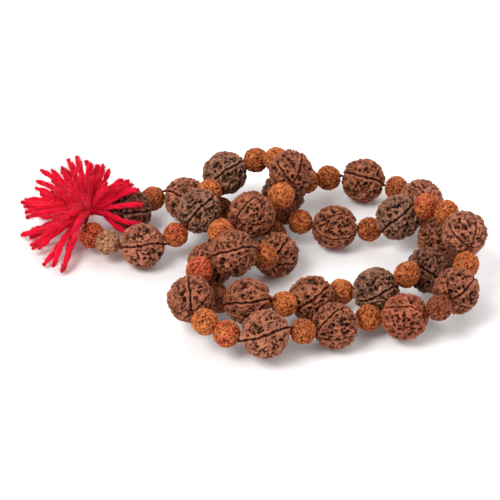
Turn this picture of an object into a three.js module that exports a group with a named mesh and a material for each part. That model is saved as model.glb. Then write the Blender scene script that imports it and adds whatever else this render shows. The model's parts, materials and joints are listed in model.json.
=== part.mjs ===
// Mala prayer beads, lying loosely heaped on a flat surface.
//
// One string runs through large and small rudraksha seeds and comes back to the knot it started from,
// where a fanned-out wool tassel hangs. Every seed is bored from pole to pole and spins on the string.
//
// Millimetres, +Z up. The seeds are named in the order in which the string meets them, starting from the
// tassel's knot. Two small seeds that sit side by side are one piece, a pair.

import * as THREE from "three";

// ---------------------------------------------------------------- driving dimensions

// A seed's radius across the string, and half its length along the string.
const LARGE = { radius: 11, half: 10.3, bore: 1.6, sides: 12, latitudes: [-72, -45, -12, 12, 45, 72] };
const SMALL = { radius: 6.1, half: 5.5, bore: 1.4, sides: 8, latitudes: [-60, -15, 15, 60] };

const STRING_RADIUS = 0.8;
const STRING_SIDES = 8;
const SEED_GAP = 0.3; // the least room between two seeds
const BARE_STRING = { least: 0.6, most: 3.4 }; // bare string that each seed keeps about its own length

const KNOT_RADIUS = 3.2;
const KNOT_CLEARANCE = 0.35; // between the knot and each end of the string
const KNOT_LEAD = 3; // how far the string runs straight on before it turns to the knot

// The tassel's bundle of yarn, along its own axis, which points away from the string.
const NECK = { radius: 3, from: 4, to: 7.4 };
const BINDING = { inner: 3.4, outer: 4.6, from: 4.6, to: 6.8 };
const FAN = { length: 37, radius: 16.2, widest: 0.66, spread: 1.75 };

const SETTLING_PASSES = 900;

// ---------------------------------------------------------------- how the string lies

// Each row is one piece on the string: what it is, and about where its middle comes to rest (x, y, z).
const LIE = [
  ["pair", -70, -5, 10],
  ["large", -49, -10, 11],
  ["small", -35, -5, 14],
  ["large", -26, 5, 18],
  ["small", -11, 18, 19],
  ["large", -9, 36, 18],
  ["pair", 0, 39, 21],
  ["large", 7, 18, 24],
  ["small", 3, 4, 22],
  ["large", -4, -9, 22],
  ["small", -5, -19, 18],
  ["large", -14, -28, 11],
  ["pair", -12, -43, 9],
  ["large", -1, -57, 17],
  ["small", 10, -59, 12],
  ["large", 28, -51, 11],
  ["small", 43, -45, 8],
  ["large", 57, -43, 12],
  ["small", 72, -46, 19],
  ["large", 80, -32, 14],
  ["small", 89, -20, 11],
  ["large", 89, -7, 11],
  ["small", 85, 7, 10],
  ["large", 82, 24, 11],
  ["small", 72, 36, 9],
  ["large", 57, 41, 11],
  ["pair", 34, 45, 9],
  ["large", 23, 30, 11],
  ["pair", 21, 3, 8],
  ["large", 39, 4, 11],
  ["small", 50, 6, 10],
  ["large", 68, 1, 17],
  ["pair", 84, -8, 25],
  ["large", 96, -22, 26],
  ["small", 96, -39, 21],
  ["large", 93, -53, 18],
  ["small", 84, -66, 19],
  ["large", 69, -62, 11],
  ["small", 54, -65, 9],
  ["large", 39, -70, 11],
  ["small", 24, -76, 12],
  ["large", 6, -78, 15],
  ["pair", -16, -74, 14],
  ["large", -21, -60, 16],
  ["small", -23, -41, 20],
  ["large", -8, -38, 25],
  ["small", 5, -29, 19],
  ["large", 11, -18, 11],
  ["small", 11, 0, 9],
  ["large", 0, 14, 11],
  ["small", -12, 20, 9],
  ["large", -26, 24, 11],
  ["small", -39, 23, 9],
  ["large", -51, 20, 11],
];
const KNOT_AT = new THREE.Vector3(-76, 9, 17);
const LEVEL_SEED = 25; // the row of LIE whose seed lies dead level, on one flat of its own

// ---------------------------------------------------------------- seeds

// A seed's outline as [distance from the string, distance along it], from one bore mouth to the other.
function seedOutline(seed) {
  const rings = seed.latitudes.map((latitude) => {
    const angle = THREE.MathUtils.degToRad(latitude);
    return [seed.radius * Math.cos(angle), seed.half * Math.sin(angle)];
  });
  return [[seed.bore, -seed.half], ...rings, [seed.bore, seed.half]];
}

// Two small seeds end to end, joined where they touch.
function pairOutline(seed) {
  const one = seedOutline(seed);
  const waist = [seed.bore + 0.7, 0];
  const first = one.slice(0, -1).map(([r, along]) => [r, along - seed.half]);
  const second = one.slice(1).map(([r, along]) => [r, along + seed.half]);
  return [...first, waist, ...second];
}

const KINDS = {
  large: { ...LARGE, outline: seedOutline(LARGE), lengthHalf: LARGE.half, centres: [0] },
  small: { ...SMALL, outline: seedOutline(SMALL), lengthHalf: SMALL.half, centres: [0] },
  pair: {
    ...SMALL,
    outline: pairOutline(SMALL),
    lengthHalf: 2 * SMALL.half,
    centres: [-SMALL.half, SMALL.half],
  },
};

// ---------------------------------------------------------------- settling

// The string's pivots: one before the first piece, one in each gap, and one after the last piece.
// A piece spans two neighbouring pivots, so its middle and its axis follow from them.
function startingPivots(pieces) {
  const middle = [KNOT_AT, ...pieces.map((piece) => piece.place), KNOT_AT];
  const pivots = [];
  for (let i = 0; i < middle.length - 1; i += 1) {
    const before = i === 0 ? KNOT_RADIUS : pieces[i - 1].lengthHalf;
    const after = i === middle.length - 2 ? KNOT_RADIUS : pieces[i].lengthHalf;
    pivots.push(middle[i].clone().lerp(middle[i + 1], before / (before + after)));
  }
  return pivots;
}

// How far a piece, turned to put a flat underneath, reaches below its middle.
function reachDown(piece, axis) {
  const level = Math.sqrt(1 - axis.z * axis.z) * Math.cos(Math.PI / piece.sides);
  return Math.max(...piece.outline.map(([r, along]) => r * level + Math.abs(along * axis.z)));
}

// How far the smooth seed about a faceted one reaches in a direction.
function reachToward(piece, axis, direction) {
  const along = axis.dot(direction);
  return Math.sqrt(piece.radius ** 2 * (1 - along ** 2) + piece.half ** 2 * along ** 2);
}

function shift(pivots, i, step) {
  pivots[i].add(step);
  pivots[i + 1].add(step);
}

function keepLengths(pieces, pivots) {
  pieces.forEach((piece, i) => {
    const span = pivots[i + 1].clone().sub(pivots[i]);
    const length = span.length();
    const wanted = THREE.MathUtils.clamp(
      length,
      2 * piece.lengthHalf + BARE_STRING.least,
      2 * piece.lengthHalf + BARE_STRING.most,
    );
    span.multiplyScalar((wanted - length) / length / 2);
    pivots[i].sub(span);
    pivots[i + 1].add(span);
  });
}

function seedCentres(pieces, pivots) {
  return pieces.flatMap((piece, i) => {
    const middle = pivots[i].clone().lerp(pivots[i + 1], 0.5);
    const axis = pivots[i + 1].clone().sub(pivots[i]).normalize();
    return piece.centres.map((along) => ({ piece, i, axis, at: middle.clone().addScaledVector(axis, along) }));
  });
}

function keepApart(pieces, pivots) {
  const seeds = seedCentres(pieces, pivots);
  const between = new THREE.Vector3();
  for (let a = 0; a < seeds.length; a += 1) {
    for (let b = a + 1; b < seeds.length; b += 1) {
      if (seeds[a].i === seeds[b].i) continue;
      between.subVectors(seeds[b].at, seeds[a].at);
      const distance = between.length();
      between.divideScalar(distance);
      const needed =
        SEED_GAP +
        reachToward(seeds[a].piece, seeds[a].axis, between) +
        reachToward(seeds[b].piece, seeds[b].axis, between);
      if (distance >= needed) continue;
      between.multiplyScalar((needed - distance) / 2);
      shift(pivots, seeds[b].i, between);
      shift(pivots, seeds[a].i, between.negate());
    }
  }
}

function keepAboveFloor(pieces, pivots) {
  pieces.forEach((piece, i) => {
    const axis = pivots[i + 1].clone().sub(pivots[i]).normalize();
    const height = (pivots[i].z + pivots[i + 1].z) / 2;
    const lift = reachDown(piece, axis) - height;
    if (lift > 0) shift(pivots, i, new THREE.Vector3(0, 0, lift));
  });
}

function layLevel(pieces, pivots, i) {
  const height = reachDown(pieces[i], new THREE.Vector3(1, 0, 0));
  pivots[i].z = height;
  pivots[i + 1].z = height;
}

function settle(pieces) {
  const pivots = startingPivots(pieces);
  for (let pass = 0; pass < SETTLING_PASSES; pass += 1) {
    const pull = 0.12 * Math.max(0, 1 - (1.4 * pass) / SETTLING_PASSES);
    pieces.forEach((piece, i) => {
      const middle = pivots[i].clone().lerp(pivots[i + 1], 0.5);
      shift(pivots, i, piece.place.clone().sub(middle).multiplyScalar(pull));
    });
    keepLengths(pieces, pivots);
    keepApart(pieces, pivots);
    keepAboveFloor(pieces, pivots);
    layLevel(pieces, pivots, LEVEL_SEED);
  }
  return pivots;
}

// ---------------------------------------------------------------- meshes

function finish(color, roughness) {
  return new THREE.MeshStandardMaterial({ color, roughness, metalness: 0 });
}

const MATERIALS = {
  large: finish(0x7a5140, 0.7),
  small: finish(0xb0602f, 0.65),
  pair: finish(0xb0602f, 0.65),
  string: finish(0x8c2a20, 0.85),
  yarn: finish(0xd01838, 0.95),
};

function namedMesh(name, geometry, material) {
  const mesh = new THREE.Mesh(geometry, material);
  mesh.name = name;
  return mesh;
}

// Turns an outline of [radius, along] pairs round the Y axis and closes it on itself.
function turned(outline, sides) {
  const points = outline.map(([r, along]) => new THREE.Vector2(r, along));
  points.push(points[0].clone());
  return new THREE.LatheGeometry(points, sides);
}

// Sets a turned piece on its axis, with the middle of one of its flats facing down.
function placeSeed(mesh, piece, middle, axis) {
  const down = new THREE.Vector3(0, 0, -1).addScaledVector(axis, axis.z).normalize();
  const side = new THREE.Vector3().crossVectors(axis, down);
  const turn = Math.PI / piece.sides;
  const flat = down.clone().multiplyScalar(Math.cos(turn)).addScaledVector(side, -Math.sin(turn));
  const third = new THREE.Vector3().crossVectors(axis, flat);
  mesh.quaternion.setFromRotationMatrix(new THREE.Matrix4().makeBasis(third, axis, flat));
  mesh.position.copy(middle);
}

// The string as a path with one step for each pivot, straight through every bore.
class StrungPath extends THREE.Curve {
  constructor(points) {
    super();
    this.points = points;
  }

  getPointAt(u) {
    return this.points[Math.round(u * (this.points.length - 1))].clone();
  }

  getTangentAt(u) {
    const i = Math.round(u * (this.points.length - 1));
    const before = this.points[Math.max(i - 1, 0)];
    const here = this.points[i];
    const after = this.points[Math.min(i + 1, this.points.length - 1)];
    const arriving = here.clone().sub(before).normalize();
    const leaving = after.clone().sub(here).normalize();
    return arriving.add(leaving).normalize();
  }
}

// Both ends of the string, from the last straight point to just short of the knot.
function knotEnd(pivot, inner) {
  const straight = pivot.clone().sub(inner).setLength(KNOT_LEAD).add(pivot);
  const outward = straight.clone().sub(KNOT_AT).normalize();
  return [straight, KNOT_AT.clone().addScaledVector(outward, KNOT_RADIUS + KNOT_CLEARANCE)];
}

function stringMesh(pivots) {
  const last = pivots.length - 1;
  const points = [
    ...knotEnd(pivots[0], pivots[1]).reverse(),
    ...pivots.slice(1, -1),
    ...knotEnd(pivots[last], pivots[last - 1]),
  ];
  const section = new THREE.Shape(
    Array.from({ length: STRING_SIDES }, (unused, i) => {
      const angle = (2 * Math.PI * i) / STRING_SIDES;
      return new THREE.Vector2(STRING_RADIUS * Math.cos(angle), STRING_RADIUS * Math.sin(angle));
    }),
  );
  const geometry = new THREE.ExtrudeGeometry(section, {
    steps: points.length - 1,
    bevelEnabled: false,
    extrudePath: new StrungPath(points),
  });
  return namedMesh("string", geometry, MATERIALS.string);
}

// ---------------------------------------------------------------- tassel

// Turned pieces of the tassel lie along -X from the knot.
function alongTassel(mesh) {
  mesh.rotation.z = Math.PI / 2;
  mesh.position.copy(KNOT_AT);
  return mesh;
}

// The string's knot, a ball with its two poles across the tassel.
function knotMesh() {
  const mesh = namedMesh("tassel_knot", new THREE.SphereGeometry(KNOT_RADIUS, 12, 8), MATERIALS.string);
  mesh.position.copy(KNOT_AT);
  return mesh;
}

function bindingMesh() {
  const { inner, outer, from, to } = BINDING;
  const outline = [
    [inner, from],
    [outer - 0.4, from],
    [outer, from + 0.4],
    [outer, to - 0.4],
    [outer - 0.4, to],
    [inner, to],
  ];
  return alongTassel(namedMesh("tassel_binding", turned(outline, 16), MATERIALS.yarn));
}

// The bundle of yarn: a neck that the binding holds, opening into a wide flat fan.
function yarnMesh() {
  const outline = [
    [0, NECK.from],
    [NECK.radius, NECK.from],
    [NECK.radius, NECK.to],
  ];
  const rings = 7;
  for (let i = 1; i <= rings; i += 1) {
    const t = i / rings;
    const swell = t < FAN.widest ? t / FAN.widest : (1 - t) / (1 - FAN.widest);
    const r = NECK.radius * (1 - t) + (FAN.radius - NECK.radius * (1 - FAN.widest)) * Math.sin((swell * Math.PI) / 2);
    outline.push([i === rings ? 0 : r, NECK.to + (FAN.length - NECK.to) * t]);
  }
  const points = outline.map(([r, along]) => new THREE.Vector2(r, along));
  const geometry = new THREE.LatheGeometry(points, 16);
  const vertices = geometry.attributes.position;
  for (let i = 0; i < vertices.count; i += 1) {
    const opened = THREE.MathUtils.smoothstep(vertices.getY(i), NECK.to, FAN.length * FAN.widest);
    vertices.setX(i, vertices.getX(i) * (1 + (FAN.spread - 1) * opened));
  }
  return alongTassel(namedMesh("tassel_yarn", geometry, MATERIALS.yarn));
}

// ---------------------------------------------------------------- assembly

const pieces = LIE.map(([kind, ...place]) => ({
  kind,
  ...KINDS[kind],
  place: new THREE.Vector3(...place),
}));
const pivots = settle(pieces);

const mala = new THREE.Group();
const counts = { large: 0, small: 0, pair: 0 };
const nodeNames = { large: "large_seed", small: "small_seed", pair: "small_seed_pair" };
pieces.forEach((piece, i) => {
  counts[piece.kind] += 1;
  const name = `${nodeNames[piece.kind]}_${String(counts[piece.kind]).padStart(2, "0")}`;
  const mesh = namedMesh(name, turned(piece.outline, piece.sides), MATERIALS[piece.kind]);
  const axis = pivots[i + 1].clone().sub(pivots[i]).normalize();
  placeSeed(mesh, piece, pivots[i].clone().lerp(pivots[i + 1], 0.5), axis);
  mala.add(mesh);
});
mala.add(stringMesh(pivots), knotMesh(), bindingMesh(), yarnMesh());

// The origin is the middle of the heap's footprint, on the surface that it lies on.
mala.updateMatrixWorld(true);
const box = new THREE.Box3().setFromObject(mala, true);
const footprint = box.getCenter(new THREE.Vector3());
mala.position.set(-footprint.x, -footprint.y, -box.min.z);

export default mala;
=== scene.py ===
"""Mala prayer beads: the looks of the seeds, the string and the wool tassel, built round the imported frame.

Every seed is one mesh, pitted and furrowed by noise in its own frame, whose Z axis is the seed's own bore.
Shapes are worked out in millimetres, and the finished meshes are in metres.
"""

import json
import math

import bpy
import numpy as np
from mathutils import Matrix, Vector


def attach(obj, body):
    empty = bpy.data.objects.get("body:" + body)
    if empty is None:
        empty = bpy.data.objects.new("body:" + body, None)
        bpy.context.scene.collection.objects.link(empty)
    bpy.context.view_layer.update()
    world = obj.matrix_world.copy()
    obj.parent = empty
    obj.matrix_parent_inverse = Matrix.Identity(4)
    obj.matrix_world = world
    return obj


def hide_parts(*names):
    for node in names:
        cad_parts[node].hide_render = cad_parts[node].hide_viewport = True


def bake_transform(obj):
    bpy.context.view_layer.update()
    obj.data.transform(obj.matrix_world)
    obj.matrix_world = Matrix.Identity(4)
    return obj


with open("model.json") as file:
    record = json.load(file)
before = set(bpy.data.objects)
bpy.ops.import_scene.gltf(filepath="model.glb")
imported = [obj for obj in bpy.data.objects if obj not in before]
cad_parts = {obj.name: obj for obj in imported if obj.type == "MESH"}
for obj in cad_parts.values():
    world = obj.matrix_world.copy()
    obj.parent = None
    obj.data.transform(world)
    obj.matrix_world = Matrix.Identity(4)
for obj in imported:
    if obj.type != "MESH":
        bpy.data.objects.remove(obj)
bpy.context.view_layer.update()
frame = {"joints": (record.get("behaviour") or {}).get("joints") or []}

MM = 0.001
JOINTS = {joint["name"]: joint for joint in frame["joints"]}
KNOT = np.array(JOINTS["tassel_lift"]["pos_m"]) / MM

# ---------------------------------------------------------------- camera

# The knot's place from the point on the ground that the camera looks at, as the string was laid.
KNOT_FROM_AIM = np.array([-76.0, 9.0, 17.0])
CAMERA_DISTANCE = 1000.0
CAMERA_ELEVATION = math.radians(37)
CAMERA_LENS = 151.2
TOWARD_CAMERA = np.array([0, -math.cos(CAMERA_ELEVATION), math.sin(CAMERA_ELEVATION)])


def make_camera():
    aim = KNOT - KNOT_FROM_AIM
    data = bpy.data.cameras.new("camera")
    data.sensor_width = 36
    data.lens = CAMERA_LENS
    camera = bpy.data.objects.new("camera", data)
    camera.location = Vector(aim + CAMERA_DISTANCE * TOWARD_CAMERA) * MM
    camera.rotation_mode = "QUATERNION"
    camera.rotation_quaternion = Vector(-TOWARD_CAMERA).to_track_quat("-Z", "Y")
    bpy.context.scene.collection.objects.link(camera)
    bpy.context.scene.camera = camera


# ---------------------------------------------------------------- noise

NOISE = np.random.default_rng(27)
SHUFFLED = np.tile(NOISE.permutation(256), 2)
SLOPES = NOISE.normal(size=(256, 3))
SLOPES /= np.linalg.norm(SLOPES, axis=1)[:, None]


def noise(points):
    """Smooth noise between about -1 and 1, with features about one unit wide."""
    cell = np.floor(points).astype(np.int64)
    within = points - cell
    fade = within**3 * (within * (within * 6 - 15) + 10)
    total = np.zeros(len(points))
    for corner in np.ndindex(2, 2, 2):
        x, y, z = ((cell + corner) & 255).T
        slope = SLOPES[SHUFFLED[SHUFFLED[SHUFFLED[x] + y] + z]]
        weight = np.prod(np.where(corner, fade, 1 - fade), axis=1)
        total += weight * ((within - corner) * slope).sum(axis=1)
    return 1.6 * total


def smoothstep(low, high, value):
    t = np.clip((value - low) / (high - low), 0, 1)
    return t * t * (3 - 2 * t)


# ---------------------------------------------------------------- seed shapes

# Millimetres. A seed's radius and half its length to the tops of its ridges, how deep its pits go, how wide
# its ridges are, and the depth and width of its furrows, which run from pole to pole.
LARGE = {
    "cells": 64,
    "radius": 11.0,
    "half": 10.5,
    "bore": 1.3,
    "relief": 1.75,
    "ridge": 3.1,
    "pits": 110,
    "pit_radius": 0.95,
    "furrow": 1.5,
    "furrow_width": 0.3,
    "lip": 1.3,
}
SMALL = {
    "cells": 38,
    "radius": 6.1,
    "half": 5.6,
    "bore": 0.9,
    "relief": 0.72,
    "ridge": 1.8,
    "pits": 60,
    "pit_radius": 0.5,
    "furrow": 0.6,
    "furrow_width": 0.2,
    "lip": 0.45,
}
FURROWS = 5


def cube_sphere(cells):
    """Unit directions and quads of a sphere made from a cube's six gridded faces."""
    grid = np.tan(np.linspace(-math.pi / 4, math.pi / 4, cells + 1))
    u, v = np.meshgrid(grid, grid, indexing="ij")
    one = np.ones_like(u)
    sides = [(one, u, v), (-one, -u, v), (-u, one, v), (u, -one, v), (u, v, one), (-u, v, -one)]
    points = np.concatenate([np.stack(side, axis=-1).reshape(-1, 3) for side in sides])
    points /= np.linalg.norm(points, axis=1)[:, None]
    corner = np.arange((cells + 1) ** 2).reshape(cells + 1, cells + 1)
    corners = [corner[:-1, :-1], corner[1:, :-1], corner[1:, 1:], corner[:-1, 1:]]
    quads = np.stack(corners, axis=-1).reshape(-1, 4)
    quads = np.concatenate([quads + i * (cells + 1) ** 2 for i in range(6)])
    _, first, same = np.unique(np.round(points, 6), axis=0, return_index=True, return_inverse=True)
    return points[first], same.reshape(-1)[quads]


for seed_kind in (LARGE, SMALL):
    seed_kind["sphere"] = cube_sphere(seed_kind["cells"])


def even_directions(count, rng):
    """Directions spread evenly over a sphere, each moved a little."""
    i = np.arange(count) + 0.5
    height = 1 - 2 * i / count
    turn = i * math.pi * (3 - math.sqrt(5))
    flat = np.sqrt(1 - height**2)
    spread = np.stack([flat * np.cos(turn), flat * np.sin(turn), height], axis=1)
    spread += rng.normal(scale=1.1 / math.sqrt(count), size=spread.shape)
    return spread / np.linalg.norm(spread, axis=1)[:, None]


def worms(points, width, share):
    """1 along the rounded middle of winding ridges, down to 0 between them. Share sets how full they are."""
    return np.clip(1 - (noise(points / width) / share) ** 2, 0, 1)


def furrows(kind, directions, start, rng):
    """How deep the furrows and how high their lips are, from 0 to 1. The first furrow is the deepest."""
    around = np.arctan2(directions[:, 1], directions[:, 0])
    across = np.hypot(directions[:, 0], directions[:, 1])
    height = directions[:, 2]
    groove, lip = np.zeros(len(directions)), np.zeros(len(directions))
    for i in range(FURROWS):
        turn = start + 2 * math.pi * i / FURROWS + (rng.normal(scale=0.07) if i else 0)
        strength = rng.uniform(0.25, 0.8) if i else 1
        sway = 0.05 * np.sin(3 * height + rng.uniform(0, 6))
        shake = 0.015 * np.sin(13 * height + rng.uniform(0, 6))
        turn = turn + sway + shake
        off = (around - turn + math.pi) % (2 * math.pi) - math.pi
        away = kind["radius"] * across * np.abs(off)
        groove = np.maximum(groove, strength * np.exp(-((away / kind["furrow_width"]) ** 2)))
        beside = (away - 0.95 * kind["lip"]) / (0.55 * kind["lip"])
        lip = np.maximum(lip, strength * np.exp(-(beside**2)))
    return groove, lip


def seed_surface(kind, start, size, half, rng):
    """Points of one seed in millimetres, and at each point its relief, from 0 in a pit to 1 on a ridge."""
    directions, quads = kind["sphere"]
    places = directions * kind["radius"] + rng.uniform(-400, 400, 3)
    ridge = kind["ridge"]
    warp = np.stack([noise(places / (1.2 * ridge) + 31 * k) for k in range(1, 4)], axis=1)
    places = places + 0.5 * ridge * warp
    broad = worms(places, ridge, 0.3)
    narrow = worms(places + 57, 0.58 * ridge, 0.3)
    nodules = smoothstep(0.1, 0.5, noise(places / (0.5 * ridge) + 91))
    relief = np.maximum(np.maximum(broad, 0.75 * narrow), 0.9 * nodules)
    relief -= 0.16 * np.abs(noise(places / (0.3 * ridge)))
    pits = even_directions(kind["pits"], rng)
    sizes = kind["pit_radius"] * rng.uniform(0.5, 1.3, kind["pits"])
    nearness = (kind["radius"] * np.sqrt(np.maximum(2 - 2 * directions @ pits.T, 0)) / sizes).min(axis=1)
    relief -= 0.9 * (1 - smoothstep(0.4, 1.2, nearness + 0.3 * warp[:, 0]))
    groove, lip = furrows(kind, directions, start, rng)
    relief += (0.95 + 0.35 * warp[:, 1] - relief) * 0.75 * lip
    relief = np.clip(relief - kind["furrow"] * groove, -0.35, 1)
    tops = 1 - 0.5 * smoothstep(-0.15, 0.5, noise(places / (0.75 * ridge) + 17))
    lumps = 0.035 * noise(directions * 1.7 + places.mean(axis=0))
    lumps = lumps + 0.018 * noise(directions * 3.9 + places[0])
    shell = np.array([kind["radius"] * size, kind["radius"] * size, half])
    length = np.linalg.norm(directions * shell, axis=1) * (1 + lumps - 0.012 * (1 + groove + lip))
    length -= kind["relief"] * (1 - relief * tops)
    off_axis = kind["radius"] * np.hypot(directions[:, 0], directions[:, 1])
    length -= kind["relief"] * np.exp(-((off_axis / kind["bore"]) ** 2))
    return directions * length[:, None], np.clip(relief, 0, 1), quads


def new_mesh(name, points, faces):
    mesh = bpy.data.meshes.new(name)
    sides = faces.shape[1]
    mesh.vertices.add(len(points))
    mesh.vertices.foreach_set("co", np.asarray(points, np.float32).ravel())
    mesh.loops.add(faces.size)
    mesh.loops.foreach_set("vertex_index", faces.astype(np.int32).ravel())
    mesh.polygons.add(len(faces))
    mesh.polygons.foreach_set("loop_start", np.arange(0, faces.size, sides, dtype=np.int32))
    mesh.polygons.foreach_set("use_smooth", np.ones(len(faces), bool))
    mesh.update()
    mesh.validate()
    return mesh


def add_values(mesh, name, values):
    mesh.attributes.new(name, "FLOAT", "POINT").data.foreach_set("value", values.astype(np.float32))


def new_piece(name, mesh, material, body, stands_for):
    piece = bpy.data.objects.new(name, mesh)
    bpy.context.scene.collection.objects.link(piece)
    mesh.materials.append(material)
    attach(piece, body)
    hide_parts(*stands_for)


def seed_frame(axis):
    """Axes of a seed's own frame: X turned toward the viewer, Z along the bore."""
    z = axis / np.linalg.norm(axis)
    x = TOWARD_CAMERA - z * (TOWARD_CAMERA @ z)
    x /= np.linalg.norm(x)
    return np.stack([x, np.cross(z, x), z], axis=1)


# ---------------------------------------------------------------- materials


def srgb(red, green, blue):
    """A colour given as 0 to 255 on screen, in the linear values that shaders take."""
    parts = [c / 255 for c in (red, green, blue)]
    return tuple(p / 12.92 if p < 0.04045 else ((p + 0.055) / 1.055) ** 2.4 for p in parts) + (1.0,)


def new_material(name):
    material = bpy.data.materials.new(name)
    material.use_nodes = True
    tree = material.node_tree
    return material, tree.nodes, tree.links, tree.nodes["Principled BSDF"]


def add_ramp(nodes, links, value, stops):
    """The colour that a value has on a ramp of (place, colour) stops."""
    node = nodes.new("ShaderNodeValToRGB")
    elements = node.color_ramp.elements
    while len(elements) < len(stops):
        elements.new(0.5)
    for element, (place, color) in zip(elements, stops):
        element.position = place
        element.color = color
    links.new(value, node.inputs["Fac"])
    return node.outputs["Color"]


def add_noise(nodes, links, scale, detail, roughness=0.55):
    """Noise with its features at a real size: scale is per metre."""
    where = nodes.new("ShaderNodeTexCoord")
    texture = nodes.new("ShaderNodeTexNoise")
    texture.inputs["Scale"].default_value = scale
    texture.inputs["Detail"].default_value = detail
    texture.inputs["Roughness"].default_value = roughness
    links.new(where.outputs["Object"], texture.inputs["Vector"])
    return texture.outputs["Fac"]


def mixed(nodes, links, kind, share, first, second):
    mix = nodes.new("ShaderNodeMix")
    mix.data_type = "RGBA"
    mix.blend_type = kind
    for name, value in (("Factor", share), ("A", first), ("B", second)):
        socket = mix.inputs[name]
        if isinstance(value, bpy.types.NodeSocket):
            links.new(value, socket)
        else:
            socket.default_value = value
    return mix.outputs["Result"]


def attribute(nodes, name):
    node = nodes.new("ShaderNodeAttribute")
    node.attribute_name = name
    return node.outputs["Fac"]


def add_bump(nodes, links, shader, height, distance, strength):
    bump = nodes.new("ShaderNodeBump")
    bump.inputs["Distance"].default_value = distance
    bump.inputs["Strength"].default_value = strength
    links.new(height, bump.inputs["Height"])
    links.new(bump.outputs["Normal"], shader.inputs["Normal"])


# Colours from a pit's bottom to a ridge's top: painted shade in the pits, painted light on the ridges, over
# each seed's tint.
LARGE_LIT_AND_SHADED_TINTS = {
    "brown": ((32, 12, 5), (104, 50, 27), (180, 107, 73)),
    "rosy": ((38, 16, 9), (116, 60, 38), (194, 122, 90)),
    "grey": ((32, 17, 11), (96, 58, 39), (174, 120, 92)),
    "dark": ((20, 9, 5), (78, 41, 26), (150, 92, 66)),
    "red": ((60, 22, 12), (132, 62, 36), (186, 104, 72)),
}
SMALL_LIT_AND_SHADED_TINTS = {
    "orange": ((70, 24, 3), (146, 62, 18), (206, 116, 56)),
    "tan": ((84, 46, 24), (150, 90, 55), (206, 152, 114)),
    "red": ((92, 20, 9), (164, 50, 22), (224, 108, 64)),
    "dark": ((46, 17, 6), (106, 44, 19), (160, 84, 44)),
    "bright": ((84, 30, 5), (168, 76, 26), (224, 130, 66)),
}


def relief_shade_and_light(nodes, links, relief, tint):
    # Painted shade darkens the pits and painted light brightens the ridge tops.
    stops = zip((0.0, 0.4, 0.95), (srgb(*color) for color in tint))
    return add_ramp(nodes, links, relief, list(stops))


def seed_material(name, tint, mottling, patches=None):
    """A dry seed shell with painted shade in its pits and painted light on its ridges. Patches is a second
    tint, in blotches.
    """
    material, nodes, links, shader = new_material(name)
    relief = attribute(nodes, "relief")
    color = relief_shade_and_light(nodes, links, relief, tint)
    if patches:
        share = add_noise(nodes, links, 0.55 * mottling, 2)
        share = add_ramp(nodes, links, share, [(0.42, (0, 0, 0, 1)), (0.58, (1, 1, 1, 1))])
        color = mixed(nodes, links, "MIX", share, color, relief_shade_and_light(nodes, links, relief, patches))
    blotches = add_noise(nodes, links, mottling, 4)
    light = add_ramp(nodes, links, blotches, [(0.3, srgb(170, 160, 160)), (0.7, srgb(255, 255, 255))])
    color = mixed(nodes, links, "MULTIPLY", 0.8, color, light)
    links.new(color, shader.inputs["Base Color"])
    rough = add_ramp(nodes, links, relief, [(0.2, (0.85,) * 3 + (1,)), (0.9, (0.5,) * 3 + (1,))])
    links.new(rough, shader.inputs["Roughness"])
    shader.inputs["Specular IOR Level"].default_value = 0.25
    add_bump(nodes, links, shader, add_noise(nodes, links, 12 * mottling, 3), 0.0002, 0.5)
    return material


def thread_material(name, shadow, light, scale):
    """Wool or cotton: darker between its plies in painted shade, with fine fibres along them."""
    material, nodes, links, shader = new_material(name)
    color = add_ramp(nodes, links, attribute(nodes, "relief"), [(0.1, srgb(*shadow)), (0.8, srgb(*light))])
    fibres = add_noise(nodes, links, scale, 4, 0.7)
    streaks = add_ramp(nodes, links, fibres, [(0.3, srgb(175, 150, 150)), (0.65, srgb(255, 255, 255))])
    links.new(mixed(nodes, links, "MULTIPLY", 0.8, color, streaks), shader.inputs["Base Color"])
    shader.inputs["Roughness"].default_value = 0.9
    shader.inputs["Specular IOR Level"].default_value = 0.1
    shader.inputs["Sheen Weight"].default_value = 0.15
    shader.inputs["Sheen Roughness"].default_value = 0.4
    add_bump(nodes, links, shader, fibres, 0.0003, 0.6)
    return material


# ---------------------------------------------------------------- seeds

# In the order that the string meets them: each seed's tint, and for a large one how far in degrees its
# first furrow lies from the middle of the side that faces the viewer.
LARGE_LOOKS = [
    ("rosy", 0), ("grey", 0), ("grey", 0), ("brown", 36), ("brown", 36), ("brown", 36), ("brown", 0),
    ("brown", 0), ("grey", 15), ("dark", 8), ("brown", 36), ("rosy", 20), ("brown", 10), ("dark", -12),
    ("brown", 36), ("grey", 0), ("rosy", 36), ("brown", -20), ("red", 36), ("brown", 36), ("rosy", 0),
    ("brown", 0), ("brown", -10), ("brown", 0), ("brown", 0), ("rosy", 0), ("dark", -20),
]  # fmt: skip
SMALL_LOOKS = [
    "red", "tan", "dyed", "bright", "orange", "bright", "bright", "bright", "dark",
    "dark", "bright", "bright", "orange", "dark", "bright", "orange", "orange", "orange",
    "dark", "orange", "orange", "dyed", "bright", "bright", "dark", "orange", "orange",
    "dyed", "bright", "red", "orange", "dark", "dark", "orange",
]  # fmt: skip


PAIR_APART = 5.55  # from a pair's middle to the middle of each of its seeds
GROWTH = 1.06  # the most that a seed outgrows its node
CLEARANCE = 0.1  # between neighbouring seeds
BORE_GAP = 0.4  # bare string that stays between two seeds
NEIGHBOURS = 26  # seeds further apart than this never touch


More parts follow.
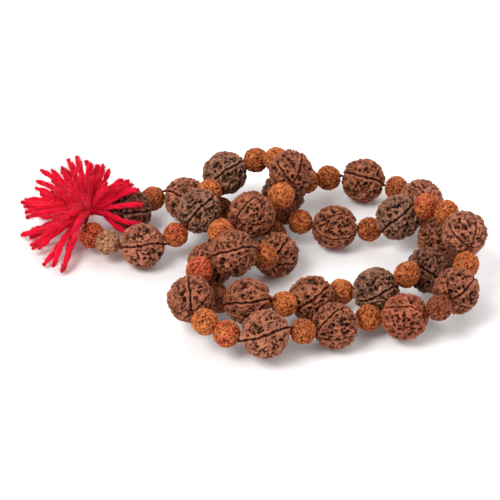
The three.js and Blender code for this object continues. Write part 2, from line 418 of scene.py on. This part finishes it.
def strung_seeds():
    """(body, centre, axis, kind) of each seed in string order. A pair's body has two rows."""
    rows = []
    for name, joint in JOINTS.items():
        if not name.endswith("_spin"):
            continue
        body = joint["child"]
        centre = np.array(joint["pos_m"]) / MM
        axis = np.array(joint["axis"])
        axis /= np.linalg.norm(axis)
        kind = LARGE if body.startswith("large") else SMALL
        apart = [-PAIR_APART, PAIR_APART] if "pair" in body else [0]
        rows += [(body, centre + axis * along, axis, kind) for along in apart]
    return rows


def reach(kind, axis, direction):
    """How far a seed's smooth outline reaches in a direction."""
    along = axis @ direction
    return math.sqrt(kind["radius"] ** 2 * (1 - along**2) + kind["half"] ** 2 * along**2)


def grown(rows):
    """How much larger than its node each seed is, and half its length, so that neighbours nearly touch."""
    size = np.full(len(rows), GROWTH)
    for _ in range(4):
        for i, (body, centre, axis, kind) in enumerate(rows):
            for j, (other, place, leaning, sort) in enumerate(rows[:i]):
                between = place - centre
                distance = np.linalg.norm(between)
                if body == other or distance > NEIGHBOURS:
                    continue
                mine = reach(kind, axis, between / distance)
                theirs = reach(sort, leaning, between / distance)
                over = mine * size[i] + theirs * size[j] + CLEARANCE - distance
                if over > 0:
                    size[i] -= over / (mine + theirs)
                    size[j] -= over / (mine + theirs)
    size = np.maximum(size, 1)
    half = np.array([kind["half"] for *_, kind in rows]) * size
    for i in range(len(rows) - 1):
        (_, centre, axis, _), (_, place, leaning, _) = rows[i], rows[i + 1]
        bare = np.linalg.norm((place - leaning * half[i + 1]) - (centre + axis * half[i])) - BORE_GAP
        if bare > 0:
            half[i] += 0.3 * bare
            half[i + 1] += 0.3 * bare
    return size, half


def make_seeds():
    large = {tint: seed_material(f"large_{tint}", colors, 260) for tint, colors in LARGE_LIT_AND_SHADED_TINTS.items()}
    small = {tint: seed_material(f"small_{tint}", colors, 420) for tint, colors in SMALL_LIT_AND_SHADED_TINTS.items()}
    small["dyed"] = seed_material("small_dyed", SMALL_LIT_AND_SHADED_TINTS["red"], 420, SMALL_LIT_AND_SHADED_TINTS["bright"])
    large_looks = iter(LARGE_LOOKS)
    small_looks = iter(SMALL_LOOKS)
    made = {}
    rows = strung_seeds()
    sizes, halves = grown(rows)
    for i, (body, centre, axis, kind) in enumerate(rows):
        rng = np.random.default_rng(100 + i)
        if kind is LARGE:
            tint, turn = next(large_looks)
            material, slot = large[tint], "large_seed"
        else:
            tint, turn = next(small_looks), rng.uniform(-36, 36)
            material, slot = small[tint], "small_seed"
        points, relief, quads = seed_surface(kind, math.radians(turn), sizes[i], halves[i], rng)
        points = centre + points @ seed_frame(axis).T
        made[body] = made.get(body, 0) + 1
        suffix = "_" + "ab"[made[body] - 1] if "pair" in body else ""
        mesh = new_mesh(f"{body}{suffix}_shell", points * MM, quads)
        add_values(mesh, "relief", relief)
        new_piece(f"{body}{suffix}_shell", mesh, material, body, [body])


# ---------------------------------------------------------------- yarn and thread


def smooth_line(points, step):
    """A Catmull-Rom line through the points, with a point every step."""
    points = np.asarray(points, float)
    ends = np.vstack([2 * points[0] - points[1], points, 2 * points[-1] - points[-2]])
    t = np.linspace(0, 1, 12, endpoint=False)[:, None]
    spans = []
    for a, b, c, d in zip(ends[:-3], ends[1:-2], ends[2:-1], ends[3:]):
        spans.append(
            0.5 * (2 * b + (c - a) * t + (2 * a - 5 * b + 4 * c - d) * t**2 + (3 * b - a - 3 * c + d) * t**3)
        )
    fine = np.vstack([*spans, points[-1:]])
    along = np.concatenate([[0], np.cumsum(np.linalg.norm(np.diff(fine, axis=0), axis=1))])
    wanted = np.linspace(0, along[-1], max(4, round(along[-1] / step)))
    return np.stack([np.interp(wanted, along, fine[:, k]) for k in range(3)], axis=1)


def line_frames(line):
    """Tangent and two directions across the line at each point, carried along it without twist."""
    tangent = np.gradient(line, axis=0)
    tangent /= np.linalg.norm(tangent, axis=1)[:, None]
    side = np.cross(tangent[0], [0.31, 0.52, 0.79])
    sides = []
    for direction in tangent:
        side = side - direction * (side @ direction)
        side = side / np.linalg.norm(side)
        sides.append(side)
    sides = np.array(sides)
    return tangent, sides, np.cross(tangent, sides)


def tube(line, radii, sides):
    """Points and quads of a tube with both ends drawn in to a small cap."""
    tangent, u, v = line_frames(line)
    turn = 2 * math.pi * np.arange(sides) / sides
    rings = line[:, None] + radii[:, None, None] * (
        np.cos(turn)[None, :, None] * u[:, None] + np.sin(turn)[None, :, None] * v[:, None]
    )
    first = line[:1, None] - tangent[0] * radii[0] * 0.5 + 0.35 * (rings[:1] - line[:1, None])
    last = line[-1:, None] + tangent[-1] * radii[-1] * 0.5 + 0.35 * (rings[-1:] - line[-1:, None])
    rings = np.concatenate([first, rings, last])
    count = len(rings)
    points = rings.reshape(-1, 3)
    i = np.arange(count - 1)[:, None] * sides
    j = np.arange(sides)[None, :]
    k = (j + 1) % sides
    quads = np.stack([i + j, i + k, i + sides + k, i + sides + j], axis=-1).reshape(-1, 4)
    middles = np.stack([points[:sides].mean(axis=0), points[-sides:].mean(axis=0)])
    start, end = len(points), len(points) + 1
    j, k = j[0], k[0]
    last_ring = (count - 1) * sides
    caps = np.concatenate(
        [
            np.stack([k, j, np.full(sides, start), np.full(sides, start)], axis=-1),
            np.stack([j + last_ring, k + last_ring, np.full(sides, end), np.full(sides, end)], axis=-1),
        ]
    )
    return np.vstack([points, middles]), quads, caps[:, :3]


def plied(line, ply_radius, offset, pitch, plies, rng, sides=8, uneven=0.0, thin_end=0.0):
    """Plies twisted round a line: points, triangles, and each point's relief, 0 towards the line.

    Uneven makes each ply's thickness vary, and thin_end is how much thinner its last few millimetres get.
    """
    tangent, u, v = line_frames(line)
    along = np.concatenate([[0], np.cumsum(np.linalg.norm(np.diff(line, axis=0), axis=1))])
    start = rng.uniform(0, 2 * math.pi)
    points, triangles, relief = [], [], []
    total = 0
    for ply in range(plies):
        turn = start + 2 * math.pi * (along / pitch + ply / plies)
        middle = line + offset * (np.cos(turn)[:, None] * u + np.sin(turn)[:, None] * v)
        radii = ply_radius * (1 + uneven * noise(middle * 0.9 + 13 * ply))
        radii = radii * (1 - thin_end * smoothstep(-4, 0, along - along[-1]))
        made, quads, caps = tube(middle, radii, sides)
        moved = np.stack([noise(made * 1.7 + 40 * k) for k in range(3)], axis=1)
        made = made + 0.5 * uneven * ply_radius * moved
        whole = np.concatenate([quads[:, [0, 1, 2]], quads[:, [0, 2, 3]], caps]) + total
        nearest = np.repeat(np.arange(-1, len(line) + 1).clip(0, len(line) - 1), sides)
        nearest = np.concatenate([nearest, [0, len(line) - 1]])
        out = np.linalg.norm(made - line[nearest], axis=1)
        relief.append(smoothstep(0.15 * ply_radius, ply_radius + offset, out))
        points.append(made)
        triangles.append(whole)
        total += len(made)
    return np.vstack(points), np.vstack(triangles), np.concatenate(relief)


def hairs(line, count, off, length, rng):
    """Loose fibres standing off a yarn, each a thin three-sided spike."""
    tangent, u, v = line_frames(line)
    i = rng.integers(1, len(line) - 1, count)
    turn = rng.uniform(0, 2 * math.pi, count)[:, None]
    out = np.cos(turn) * u[i] + np.sin(turn) * v[i]
    lean = tangent[i] * rng.uniform(-1.2, 1.2, count)[:, None]
    direction = out + lean
    direction /= np.linalg.norm(direction, axis=1)[:, None]
    base = line[i] + off * out
    tip = base + direction * (length * rng.uniform(0.4, 1.2, count))[:, None]
    across = np.cross(direction, out + 0.3)
    across /= np.linalg.norm(across, axis=1)[:, None]
    third = np.cross(direction, across)
    width = 0.07
    ring = [base + width * (math.cos(a) * across + math.sin(a) * third) for a in (0, 2.094, 4.189)]
    points = np.stack([*ring, tip], axis=1).reshape(-1, 3)
    start = 4 * np.arange(count)[:, None, None]
    triangles = (start + np.array([[0, 1, 3], [1, 2, 3], [2, 0, 3], [2, 1, 0]])[None]).reshape(-1, 3)
    return points, triangles, np.full(len(points), 0.9)


def joined(parts):
    """One set of points, triangles and relief from several."""
    shift = np.cumsum([0] + [len(points) for points, _, _ in parts[:-1]])
    return (
        np.vstack([points for points, _, _ in parts]),
        np.vstack([triangles + by for (_, triangles, _), by in zip(parts, shift)]),
        np.concatenate([relief for _, _, relief in parts]),
    )


def yarn_mesh(name, parts):
    points, triangles, relief = joined(parts)
    points[:, 2] = np.maximum(points[:, 2], 0)
    mesh = new_mesh(name, points * MM, triangles)
    add_values(mesh, "relief", relief)
    return mesh


def make_string():
    """The thread through every bore, from the knot and back to it."""
    rng = np.random.default_rng(5)
    route = [KNOT]
    for _, centre, axis, kind in strung_seeds():
        route += [centre - axis * 0.9 * kind["half"], centre + axis * 0.9 * kind["half"]]
    route.append(KNOT)
    line = smooth_line(route, 0.7)
    mesh = yarn_mesh("string_thread", [plied(line, 0.42, 0.36, 4.0, 2, rng, sides=6)])
    material = thread_material("cotton", (50, 14, 10), (112, 40, 28), 2500)
    new_piece("string_thread", mesh, material, "string", ["string"])


# ---------------------------------------------------------------- tassel

# The yarn's two plies: each one's radius, how far it lies off the middle, and the length of one twist.
YARN = {"ply": 0.98, "offset": 0.46, "pitch": 12}
STRANDS = 165  # before those that would run into the seeds or the floor are left out
BUNDLES = 8
CORE = KNOT + np.array([-0.5, 0, 0])
STRAND_LENGTH = 30.5
FLOOR_CLEARANCE = 1.5


def wanted_strand(direction):
    """Strands spread to the left, to the back and upwards, and lean over the seeds only where they rise."""
    x, y, z = direction
    if z < -0.55:
        return False
    if x > 0.1 and (z < -0.45 or y < -0.3):
        return False
    if y < -0.2 and x > -0.3 and z < 0.4:
        return False
    return True


def keep_clear(line, seeds):
    """Moves a strand's points out of the seeds and up from the floor."""
    for _, centre, _, kind in seeds:
        apart = line - centre
        distance = np.linalg.norm(apart, axis=1)
        room = kind["radius"] + 1.6
        push = np.clip(room - distance, 0, None)
        line = line + apart / distance[:, None] * push[:, None]
    line[:, 2] = np.maximum(line[:, 2], FLOOR_CLEARANCE)
    return line


def strand_line(direction, seeds, rng):
    length = STRAND_LENGTH * rng.uniform(0.92, 1.06) * (1 - 0.24 * max(0, direction[2]) ** 2)
    if direction[0] > 0.1:
        length *= 0.62 + 0.25 * smoothstep(0, 0.5, direction[2])
    t = np.linspace(0, 1, 9)[:, None]
    level = math.sqrt(max(0, 1 - direction[2] ** 2))
    droop = rng.uniform(0.05, 0.28) * level
    bend = np.cross(direction, [0, 0, 1.0]) * rng.normal(scale=0.1) * length
    sway = rng.normal(size=3) * 1.1
    line = CORE + direction * (1.5 + length * t)
    line += bend * t**2 + np.array([0, 0, -1.0]) * droop * length * t**2
    line += sway * np.sin(t * rng.uniform(4, 7) + rng.uniform(0, 3)) * t
    for _ in range(3):
        line = keep_clear(line, seeds)
        line[1:-1] = 0.5 * line[1:-1] + 0.25 * (line[:-2] + line[2:])
    return smooth_line(keep_clear(line, seeds), 0.55)


def make_strands(material):
    rng = np.random.default_rng(8)
    near = [row for row in strung_seeds() if np.linalg.norm(row[1] - KNOT) < 48]
    directions = [d for d in even_directions(STRANDS, rng) if wanted_strand(d)]
    directions.sort(key=lambda d: math.atan2(d[1], -d[0]))
    bundles = np.array_split(np.arange(len(directions)), BUNDLES)
    for number, bundle in enumerate(bundles, 1):
        parts = []
        for i in bundle:
            line = strand_line(directions[i], near, rng)
            yarn = plied(
                line, YARN["ply"], YARN["offset"], YARN["pitch"], 2, rng, uneven=0.22, thin_end=0.45
            )
            parts.append(yarn)
            parts.append(hairs(line, 110, 1.2, 1.5, rng))
            parts.append(hairs(line[-9:], 60, 0.9, 2.4, rng))
        name = f"tassel_strands_{number:02d}"
        mesh = yarn_mesh(name, parts)
        strands = bpy.data.objects.new(name, mesh)
        bpy.context.scene.collection.objects.link(strands)
        mesh.materials.append(material)
        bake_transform(strands)
        if number == 1:
            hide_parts("tassel_yarn")


def make_binding(material):
    """Yarn wound three times round the neck of the tassel."""
    rng = np.random.default_rng(3)
    turn = np.linspace(0, 2 * math.pi * 3, 60)
    along = -4.4 - 2.6 * turn / turn[-1]
    wound = np.stack([along, 3.4 * np.cos(turn), 3.4 * np.sin(turn)], axis=1) + KNOT
    parts = [plied(smooth_line(wound, 0.5), 0.6, 0.5, 5.0, 2, rng, uneven=0.15)]
    mesh = yarn_mesh("tassel_binding_yarn", parts)
    new_piece("tassel_binding_yarn", mesh, material, "tassel", ["tassel_binding"])


def make_knot(material):
    """The knot that ties both ends of the string: a thread tied on itself."""
    rng = np.random.default_rng(4)
    turn = np.linspace(0, 2 * math.pi, 73)[:-1]
    around = 1.75 + 0.75 * np.cos(3 * turn)
    tied = np.stack([around * np.cos(2 * turn), around * np.sin(2 * turn), 1.15 * np.sin(3 * turn)], axis=1)
    line = smooth_line(np.vstack([tied, tied[:2]]) + KNOT, 0.35)
    parts = [plied(line, 0.5, 0.42, 4.0, 2, rng, uneven=0.1)]
    mesh = yarn_mesh("tassel_knot_thread", parts)
    new_piece("tassel_knot_thread", mesh, material, "knot", ["tassel_knot"])


# ---------------------------------------------------------------- floor and lights


FLOOR_HEIGHT = -0.8  # just under the lowest ridges


def make_floor():
    bpy.ops.mesh.primitive_plane_add(size=6, location=(0, 0, FLOOR_HEIGHT * MM))
    floor = bpy.context.object
    floor.name = "floor"
    material, _, _, shader = new_material("pale_floor")
    shader.inputs["Base Color"].default_value = (0.96, 0.96, 0.96, 1)
    shader.inputs["Roughness"].default_value = 0.8
    floor.data.materials.append(material)


def add_softbox(name, place, size, power):
    data = bpy.data.lights.new(name, "AREA")
    data.shape = "SQUARE"
    data.size = size
    data.energy = power
    light = bpy.data.objects.new(name, data)
    light.location = place
    light.rotation_mode = "QUATERNION"
    light.rotation_quaternion = Vector(place).to_track_quat("Z", "Y")
    bpy.context.scene.collection.objects.link(light)


def make_lights():
    add_softbox("key", (-0.5, -0.45, 0.9), 0.5, 9)
    add_softbox("fill", (0.9, -0.2, 0.6), 0.8, 3)
    add_softbox("back", (0.1, 0.9, 0.8), 0.8, 4)
    world = bpy.data.worlds.new("studio")
    world.use_nodes = True
    background = world.node_tree.nodes["Background"]
    background.inputs["Color"].default_value = (1, 1, 1, 1)
    background.inputs["Strength"].default_value = 0.68
    bpy.context.scene.world = world
    bpy.context.scene.view_settings.view_transform = "Standard"


# ---------------------------------------------------------------- assembly

make_camera()
make_seeds()
make_string()
wool = thread_material("wool", (178, 0, 22), (250, 14, 58), 1400)
make_strands(wool)
make_binding(wool)
make_knot(wool)
make_floor()
make_lights()
